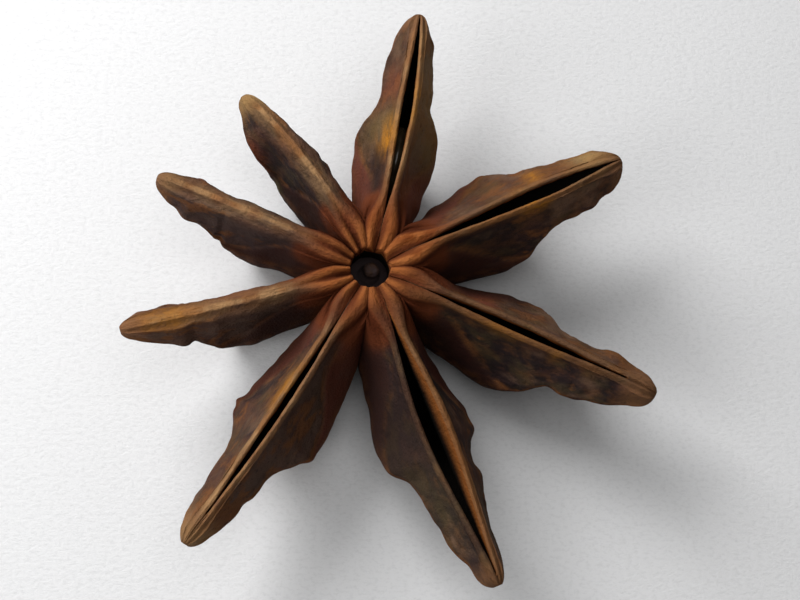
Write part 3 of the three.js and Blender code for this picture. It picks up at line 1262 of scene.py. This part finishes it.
    def build(self) -> bpy.types.Object:
        """Makes the carpel's mesh object.

        Returns:
            The object, at the origin, with its place in its mesh.
        """
        rings = self.radii()
        columns = 2 * sum(SAMPLING.spans(self.slit is not None))
        rows = len(rings) - 1
        mesh = bmesh.new()
        bmesh.ops.create_uvsphere(mesh, u_segments=columns, v_segments=rows, radius=1.0)
        marks: dict[int, Mark] = {}
        tip = FORM.crest + self.lift - FORM.tip_drop
        for (radius, size), row in zip(rings, self._rows(mesh, rows, columns)):
            section = self.section(radius)
            ring = self.ring(section)
            middle = tip if radius > FORM.hole + 1 else section.top - FORM.cap_drop
            scale = section.rounding * size
            for column, vert in row:
                y, z, mark = ring[column]
                y *= scale
                arched = math.sqrt(max(radius**2 - y**2, 0.1))
                x = lerp(arched, radius, ZONES.arch.after(radius))
                vert.co = (x, section.centre + y, lerp(middle, section.top + z, scale))
                marks[vert.index] = mark
        bmesh.ops.recalc_face_normals(mesh, faces=mesh.faces)
        mesh.normal_update()
        lifts = {vert: vert.normal * self.relief(marks[vert.index]) for vert in mesh.verts}
        for vert, lift in lifts.items():
            vert.co += lift
            vert.co.z = max(vert.co.z, 0.0)
        bmesh.ops.rotate(
            mesh, verts=mesh.verts, matrix=Matrix.Rotation(math.radians(self.azimuth), 3, "Z")
        )
        piece = to_object(mesh, self.name)
        self._write_attributes(piece.data, marks)
        return piece

    def _rows(
        self, mesh: bmesh.types.BMesh, rows: int, columns: int
    ) -> list[list[tuple[int, bmesh.types.BMVert]]]:
        """A round mesh's vertices by row, from pole to pole, each with its column's number.

        Args:
            mesh: the mesh.
            rows: how many rows of faces it has.
            columns: how many columns it has.

        Returns:
            The columns' numbers and vertices in each row.
        """
        grid = [[] for _ in range(rows + 1)]
        for vert in mesh.verts:
            row = round(math.acos(clamp(vert.co.z, -1, 1)) / math.pi * rows)
            turn = math.atan2(vert.co.y, vert.co.x) / math.tau if 0 < row < rows else 0.0
            grid[row].append((round(turn * columns) % columns, vert))
        return grid

    def _write_attributes(self, data: bpy.types.Mesh, marks: dict[int, Mark]) -> None:
        """Stores the tints and the grain direction on the mesh.

        Args:
            data: the carpel's mesh.
            marks: each vertex's mark, by its index.
        """
        tints = [self.tints(marks[i]) for i in range(len(data.vertices))]
        for name in tints[0]:
            write_attribute(data, name, [t[name] for t in tints])
        grain = data.attributes.new("grain", "FLOAT_VECTOR", "POINT")
        flat = []
        for i in range(len(data.vertices)):
            flat.extend(self.grain(marks[i]))
        grain.data.foreach_set("vector", flat)


# ---- Mesh helpers --------------------------------------------------------------------------------


def new_object(name: str, data: bpy.types.ID) -> bpy.types.Object:
    """An object that holds the data, linked to the scene.

    Args:
        name: the object's name.
        data: its mesh, light or camera.

    Returns:
        The object.
    """
    made = bpy.data.objects.new(name, data)
    bpy.context.scene.collection.objects.link(made)
    return made


def to_object(mesh: bmesh.types.BMesh, name: str, smooth: bool = True) -> bpy.types.Object:
    """Turns a mesh in millimetres into an object in metres.

    Args:
        mesh: the mesh, which is freed.
        name: the object's name.
        smooth: whether its faces are shaded smooth.

    Returns:
        The object, at the origin.
    """
    bmesh.ops.scale(mesh, vec=(METRES, METRES, METRES), verts=mesh.verts)
    for face in mesh.faces:
        face.smooth = smooth
    data = bpy.data.meshes.new(name)
    mesh.to_mesh(data)
    mesh.free()
    return new_object(name, data)


def write_attribute(data: bpy.types.Mesh, name: str, values: Sequence[float]) -> None:
    """Stores one number for each vertex of a mesh."""
    data.attributes.new(name, "FLOAT", "POINT").data.foreach_set("value", list(values))


def dress(
    piece: bpy.types.Object, material: bpy.types.Material, node: str
) -> bpy.types.Object:
    """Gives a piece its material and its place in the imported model.

    Args:
        piece: the finished piece.
        material: its material.
        node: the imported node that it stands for.

    Returns:
        The piece.
    """
    piece.data.materials.append(material)
    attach(piece, "root")
    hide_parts(node)
    return piece


# ---- The whorl, the column and the seed ----------------------------------------------------------


@dataclass
class Whorl:
    """The eight carpels, and the room that each leaves its neighbours."""

    carpels: Sequence[Carpel]

    def __post_init__(self) -> None:
        """Works out how far each flank may spread before it meets its neighbour."""
        count = len(self.carpels)
        for i, carpel in enumerate(self.carpels):
            after, before = self.carpels[(i + 1) % count], self.carpels[i - 1]
            carpel.room = {
                Side.CCW: self._share(carpel.azimuth, after.azimuth),
                Side.CW: self._share(before.azimuth, carpel.azimuth),
            }

    def _share(self, start: float, end: float) -> float:
        """Half-width per millimetre of radius between two azimuths."""
        return FORM.crowding * math.tan(math.radians((end - start) % 360 / 2))

    def build(self, material: bpy.types.Material) -> list[bpy.types.Object]:
        """Builds and dresses every carpel.

        Args:
            material: the husk's material.

        Returns:
            The carpels' pieces.
        """
        pieces = []
        for carpel in self.carpels:
            piece = dress(carpel.build(), material, "pod")
            LOG.info("%s: %d faces", piece.name, len(piece.data.polygons))
            pieces.append(piece)
        return pieces


@dataclass
class Column:
    """The fruit's middle: the stalk scar, the core between the carpels, the knob in the pit."""

    scar: float = 1.35
    core: float = 2.2
    core_top: float = 5.7
    knob: float = 0.5
    knob_top: float = 6.6
    lean: tuple[float, float] = (0.16, 0.2)
    coarse: float = 0.07
    fine: float = 0.025
    segments: int = 72

    def profile(self) -> list[tuple[float, float]]:
        """Radius and height of the turned outline, from the scar's middle to the knob's top.

        Returns:
            The outline's points.
        """
        return [
            (0.0, 0.14),
            (0.35, 0.12),
            (0.8, 0.04),
            (1.15, 0.0),
            (self.scar, 0.0),
            (self.scar * 0.96, 0.12),
            (self.scar * 0.92, 0.4),
            (self.core * 0.72, 0.9),
            (self.core * 0.9, 1.6),
            (self.core, 2.6),
            (self.core, self.core_top - 0.9),
            (self.core * 0.8, self.core_top - 0.25),
            (1.1, self.core_top - 0.05),
            (self.knob * 1.35, self.core_top),
            (self.knob * 1.1, self.core_top + 0.25),
            (self.knob, self.knob_top - 0.55),
            (self.knob * 0.92, self.knob_top - 0.22),
            (self.knob * 0.62, self.knob_top - 0.05),
            (0.0, self.knob_top),
        ]

    def build(self, material: bpy.types.Material) -> bpy.types.Object:
        """Spins the outline, roughens it and dresses the piece.

        Args:
            material: the column's material.

        Returns:
            The piece.
        """
        mesh = bmesh.new()
        chain = [mesh.verts.new((radius, 0, height)) for radius, height in self.profile()]
        edges = [mesh.edges.new(pair) for pair in zip(chain, chain[1:])]
        bmesh.ops.subdivide_edges(mesh, edges=edges, cuts=3)
        bmesh.ops.spin(
            mesh,
            geom=mesh.verts[:] + mesh.edges[:],
            axis=(0, 0, 1),
            cent=(0, 0, 0),
            angle=math.tau,
            steps=self.segments,
            use_merge=True,
        )
        bmesh.ops.remove_doubles(mesh, verts=mesh.verts, dist=1e-4)
        bmesh.ops.recalc_face_normals(mesh, faces=mesh.faces)
        mesh.normal_update()
        self._roughen(mesh)
        knob = [ease(v.co.z, self.knob_top - 0.5, self.knob_top - 0.1) for v in mesh.verts]
        scar = [1 - ease(v.co.z, 0.15, 0.4) for v in mesh.verts]
        piece = to_object(mesh, "column")
        write_attribute(piece.data, "knob", knob)
        write_attribute(piece.data, "scar", scar)
        return dress(piece, material, "pod")

    def _roughen(self, mesh: bmesh.types.BMesh) -> None:
        """Breaks the scar's surface, leans the knob and makes the whole column uneven.

        Args:
            mesh: the spun mesh.
        """
        for vert in mesh.verts:
            coarse = noise.noise(vert.co * 1.6) * self.coarse
            vert.co += vert.normal * (coarse + noise.noise(vert.co * 4.0) * self.fine)
            above = ease(vert.co.z, self.core_top - 0.1, self.core_top + 0.5)
            vert.co.x += self.lean[0] * above
            vert.co.y += self.lean[1] * above
            vert.co.z = max(vert.co.z, 0.0)


@dataclass
class Seed:
    """The flattened, glossy seed that shows in a carpel's slit."""

    carpel: Carpel
    length: float = 4.6
    height: float = 3.8
    thickness: float = 1.7
    reach: float = 7.9
    below_crest: float = 1.6
    pinch: float = 0.22
    pinch_height: float = 0.12
    waist: float = 0.05

    def build(self, material: bpy.types.Material) -> bpy.types.Object:
        """Shapes the seed from a sphere, pinched towards its hilum, and dresses it.

        Args:
            material: the seed's material.

        Returns:
            The piece.
        """
        section = self.carpel.section(self.reach)
        mesh = bmesh.new()
        bmesh.ops.create_uvsphere(mesh, u_segments=64, v_segments=40, radius=0.5)
        for vert in mesh.verts:
            hilum = ease(-vert.co.x, 0.1, 0.5)
            vert.co.y *= 1 - self.pinch * hilum
            vert.co.z *= 1 - self.pinch_height * hilum
            vert.co.y *= 1 - self.waist * hump(vert.co.z, 0.0, 0.06)
        bmesh.ops.scale(mesh, vec=(self.length, self.thickness, self.height), verts=mesh.verts)
        middle = section.top - self.below_crest - self.height / 2
        bmesh.ops.translate(mesh, vec=(self.reach, section.centre, middle), verts=mesh.verts)
        turn = Matrix.Rotation(math.radians(self.carpel.azimuth), 3, "Z")
        bmesh.ops.rotate(mesh, verts=mesh.verts, matrix=turn)
        return dress(to_object(mesh, "seed_kernel"), material, "seed")


# ---- Stage ---------------------------------------------------------------------------------------


@dataclass(frozen=True)
class Lamp:
    """A soft square light that points at the fruit, by azimuth and elevation in degrees."""

    name: str
    azimuth: float
    elevation: float
    distance: float
    size: float
    power: float

    def build(self) -> bpy.types.Object:
        """Makes the light.

        Returns:
            The light.
        """
        data = bpy.data.lights.new(self.name, "AREA")
        data.shape = "SQUARE"
        data.size = self.size
        data.energy = self.power
        lamp = new_object(self.name, data)
        out = math.cos(math.radians(self.elevation))
        way = Vector((
            out * math.cos(math.radians(self.azimuth)),
            out * math.sin(math.radians(self.azimuth)),
            math.sin(math.radians(self.elevation)),
        ))
        lamp.location = way * self.distance
        lamp.rotation_euler = (-way).to_track_quat("-Z", "Y").to_euler()
        return lamp


@dataclass(frozen=True)
class Stage:
    """The floor, the lights, the sky and the camera. Places are in metres."""

    floor_size: float = 0.9
    eye: Triple = (-0.007496, -0.026142, 0.104268)
    target: Triple = (0.001748, -0.002061, 0.008)
    lens: float = 75.0
    sky: Colour = (1.0, 1.0, 1.0)
    sky_strength: float = 0.07
    lamps: tuple[Lamp, ...] = (
        Lamp("key", 134, 37, 0.18, 0.10, 0.39),
        Lamp("side", 205, 38, 0.16, 0.10, 0.10),
        Lamp("top", 0, 88, 0.30, 0.20, 0.19),
    )

    def build(self, cloth: bpy.types.Material) -> None:
        """Makes the stage round the fruit.

        Args:
            cloth: the floor's material.
        """
        mesh = bmesh.new()
        bmesh.ops.create_grid(mesh, x_segments=2, y_segments=2, size=self.floor_size / 2 / METRES)
        floor = to_object(mesh, "floor", smooth=False)
        floor.data.materials.append(cloth)
        for lamp in self.lamps:
            lamp.build()
        self._sky()
        self._camera()

    def _sky(self) -> None:
        """An even white surround."""
        world = bpy.data.worlds.new("surround")
        world.use_nodes = True
        background = world.node_tree.nodes["Background"]
        background.inputs["Color"].default_value = (*self.sky, 1.0)
        background.inputs["Strength"].default_value = self.sky_strength
        bpy.context.scene.world = world
        bpy.context.scene.view_settings.view_transform = "Standard"

    def _camera(self) -> None:
        """A camera that looks down on the fruit from the front left, with +Y up in its picture."""
        data = bpy.data.cameras.new("camera")
        data.lens = self.lens
        data.sensor_width = 36.0
        data.clip_start = 0.005
        data.clip_end = 5.0
        camera = new_object("camera", data)
        back = (Vector(self.eye) - Vector(self.target)).normalized()
        right = Vector((0, 1, 0)).cross(back).normalized()
        up = back.cross(right)
        turn = Matrix((right, up, back)).transposed().to_4x4()
        camera.matrix_world = Matrix.Translation(Vector(self.eye)) @ turn
        bpy.context.scene.camera = camera


# ---- The fruit -----------------------------------------------------------------------------------


def carpels() -> list[Carpel]:
    """The eight carpels, counter-clockwise from +X.

    Returns:
        The carpels, each next to its neighbours.
    """
    gold, rust, olive, shade, pale, amber = Tint
    ccw, cw = Side.CCW, Side.CW
    # In each Flank, the number after the nicks is partly painted light and shade, and the one after
    # the lip's paleness is painted light on the pressed face.
    return [
        Carpel(
            "carpel_east_northeast", 0, 25.0, 17.2, 0.05, 0.2,
            Flank(3.45, 1.95, 0.58, (
                Nick(0.34, -0.2, 0.04), Nick(0.63, -0.3, 0.07), Nick(0.93, -0.18, 0.04),
            ), 0.8, 0.3, 0.9),
            Flank(2.9, 1.95, 0.62, (
                Nick(0.62, 0.25, 0.045), Nick(0.84, -0.25, 0.03), Nick(0.95, -0.2, 0.04),
            ), 0.45, 0.5, 0.1),
            Slit(0.68, 0.1, 0.985, 0.68),
            foot=1.05,
            patches=(
                Patch(pale, ccw, 15.4, 0.4, 1.2, 0.5, 0.85),
                Patch(gold, ccw, 10.2, 0.10, 0.8, 0.08, 0.75),
                Patch(gold, ccw, 11.7, 0.35, 0.5, 0.2, 0.9),
                Patch(gold, cw, 10.9, 0.08, 1.0, 0.12, 1.1),
                Patch(shade, cw, 8.4, 0.35, 1.9, 0.25, 0.5),
                Patch(amber, cw, 8.5, 0.02, 3.5, 0.08, 0.8),
            ),
        ),
        Carpel(
            "carpel_north", 1, 79.6, 16.7, -0.33, 0.3,
            Flank(
                2.9, 1.8, 0.58, (Nick(0.53, 0.12, 0.04), Nick(0.62, -0.16, 0.035)), 0.5, 0.7, 1.0
            ),
            Flank(2.55, 1.5, 0.6, (
                Nick(0.31, -0.12, 0.03), Nick(0.62, -0.16, 0.04), Nick(0.7, -0.12, 0.04),
            ), 1.0, 0.7, 0.8),
            Slit(0.56, 0.1, 0.99, 0.62),
            patches=(
                Patch(gold, ccw, 8.6, 0.14, 1.1, 0.16, 1.4),
                Patch(gold, cw, 10.6, 0.03, 1.2, 0.10, 0.9),
                Patch(olive, cw, 8.6, 0.6, 1.2, 0.3, 0.7),
                # painted light: lightens the upper flank, which faces away from the key lamp
                Patch(pale, cw, 12.0, 0.6, 3.5, 0.8, 0.45),
                Patch(olive, ccw, 9.4, 0.35, 1.2, 0.4, 0.7),
                Patch(rust, ccw, 11.8, 0.4, 1.6, 0.4, 0.5),
                Patch(shade, ccw, 13.7, 0.75, 1.0, 0.3, 0.8),
                Patch(shade, ccw, 5.9, 0.30, 2.0, 0.17, 1.1),
                # partly the real red near the base and partly painted light on this flank, which
                # faces away from the key lamp
                Patch(rust, cw, 5.2, 0.8, 1.8, 0.7, 0.85),
            ),
        ),
        Carpel(
            "carpel_north_northwest", 2, 126.6, 13.3, -0.62, 0.1,
            Flank(1.55, 1.35, 0.78, (
                Nick(0.64, 0.15, 0.03), Nick(0.75, -0.18, 0.04), Nick(0.84, -0.34, 0.06),
            ), 0.15, flush=0.0, dust=0.2),
            Flank(2.0, 1.05, 0.62, (
                Nick(0.38, -0.15, 0.05), Nick(0.58, -0.18, 0.05), Nick(0.67, -0.42, 0.05),
                Nick(0.77, -0.12, 0.03),
            ), dust=0.4),
            patches=(
                Patch(rust, ccw, 10.3, 0.9, 0.8, 0.4, 1.0),
                Patch(olive, ccw, 8.2, 1.0, 0.4, 0.2, 1.0),
                Patch(pale, ccw, 12.8, 0.1, 0.7, 0.7, 0.8),
                Patch(pale, cw, 12.8, 0.1, 0.9, 0.7, 0.8),
            ),
        ),
        Carpel(
            "carpel_west_northwest", 3, 157.7, 14.0, -0.12, 0.1,
            Flank(1.65, 1.45, 0.7, (
                Nick(0.38, 0.15, 0.06), Nick(0.655, 0.25, 0.018), Nick(0.82, -0.25, 0.04),
            ), 0.45, flush=0.0, dust=0.95),
            Flank(1.45, 1.0, 0.6, (Nick(0.82, -0.36, 0.055),), dust=0.4),
            patches=(
                Patch(rust, cw, 11.4, 0.8, 1.0, 0.5, 1.0),
                Patch(pale, ccw, 13.0, 0.05, 0.8, 0.2, 0.3),
                Patch(pale, cw, 13.0, 0.05, 0.8, 0.2, 0.3),
            ),
        ),
        Carpel(
            "carpel_west", 4, 195.7, 15.4, 0.2, 0.0,
            Flank(1.6, 1.25, 0.67, (
                Nick(0.63, -0.18, 0.03), Nick(0.72, 0.15, 0.02), Nick(0.78, -0.25, 0.06),
                Nick(0.93, 0.12, 0.04),
            ), 0.7, flush=0.0, dust=0.5),
            Flank(1.3, 1.2, 0.64, (Nick(0.92, -0.15, 0.05),), 0.6, flush=0.6),
            foot=1.05,
            patches=(
                # painted shade on the pressed face near the middle, which faces away from the light
                Patch(shade, ccw, 6.0, 0.5, 2.0, 0.6, 0.55),
                Patch(shade, ccw, 11.0, 1.0, 3.0, 0.12, 0.6),
                Patch(rust, cw, 8.0, 0.4, 3.0, 0.6, 0.5),
                Patch(rust, cw, 15.2, 0.3, 1.2, 0.8, 0.45),
                Patch(rust, ccw, 15.2, 0.3, 1.2, 0.8, 0.45),
                Patch(gold, ccw, 12.6, 0.02, 1.4, 0.16, 0.65),
                Patch(gold, cw, 12.6, 0.02, 1.4, 0.12, 0.65),
            ),
        ),
        Carpel(
            "carpel_southwest", 5, 237.5, 19.8, 0.3, 0.1,
            Flank(3.15, 1.55, 0.6, (
                Nick(0.59, 0.15, 0.02), Nick(0.66, -0.16, 0.03), Nick(0.8, 0.18, 0.03),
            ), 0.8, 0.7, 0.8, 0.6),
            Flank(2.8, 1.4, 0.6, (
                Nick(0.525, -0.25, 0.018), Nick(0.66, -0.15, 0.03), Nick(0.9, -0.12, 0.08),
            ), 0.5, 0.8, 0.6, 0.2),
            Slit(0.31, 0.1, 0.89, 0.52),
            foot=0.5,
            patches=(
                Patch(gold, cw, 9.0, 0.1, 1.6, 0.16, 0.8),
                Patch(pale, ccw, 19.2, 0.3, 0.9, 1.0, 0.4),
                Patch(pale, cw, 19.2, 0.3, 0.9, 1.0, 0.4),
            ),
        ),
        Carpel(
            "carpel_south_southeast", 6, 291.8, 20.38, -0.1, 0.2,
            Flank(3.0, 1.35, 0.565, (
                Nick(0.47, -0.2, 0.045), Nick(0.575, 0.16, 0.03), Nick(0.67, -0.6, 0.07),
                Nick(0.84, 0.12, 0.04),
            ), 0.45, 0.5, 0.3, 0.2),
            Flank(3.1, 2.1, 0.595, (
                Nick(0.45, -0.2, 0.05), Nick(0.615, 0.28, 0.03), Nick(0.78, 0.28, 0.05),
                Nick(0.915, 0.4, 0.05),
            ), 0.05, 0.15, 0.1),
            Slit(1.3, 0.1, 0.965, 0.5, {Side.CCW: 0.8}),
            foot=0.4,
            patches=(
                Patch(amber, ccw, 12.0, 0.0, 8.0, 0.08, 0.75),
                # painted shade over the whole flank, darkening it where the side lamp lights it
                Patch(shade, cw, 9.0, 0.5, 5.0, 0.8, 0.8),
                Patch(olive, cw, 14.0, 0.5, 3.5, 0.5, 0.3),
            ),
        ),
        Carpel(
            "carpel_east_southeast", 7, 336.6, 18.83, 0.12, 0.0,
            Flank(3.25, 1.5, 0.6, (
                Nick(0.57, 0.25, 0.04), Nick(0.7, -0.1, 0.03), Nick(0.84, -0.28, 0.05),
                Nick(0.95, -0.2, 0.04),
            ), 0.75, 0.25, 0.3),
            Flank(
                3.05, 2.0, 0.6, (Nick(0.73, -0.26, 0.05), Nick(0.93, 0.15, 0.04)), 0.25, 0.3, 0.0
            ),
            Slit(0.42, 0.1, 0.885, 0.52),
            bluntness=3.2,
            foot=0.5,
            patches=(
                Patch(gold, cw, 8.6, 0.04, 1.8, 0.12, 0.35),
                Patch(amber, cw, 9.0, 0.02, 5.0, 0.08, 0.6),
                Patch(rust, ccw, 7.2, 0.3, 0.8, 0.25, 1.0),
                Patch(shade, ccw, 9.2, 0.8, 0.9, 0.35, 0.5),
                Patch(gold, cw, 12.4, 0.1, 0.5, 0.10, 0.6),
            ),
        ),
    ]


def main() -> None:
    """Builds the fruit and its stage."""
    logging.basicConfig(level=logging.INFO, format="%(name)s: %(message)s")
    whorl = Whorl(carpels())
    whorl.build(HuskFinish().make())
    Column().build(ColumnFinish().make())
    Seed(whorl.carpels[1]).build(SeedFinish().make())
    Stage().build(ClothFinish().make())


if __name__ == "__main__":
    main()
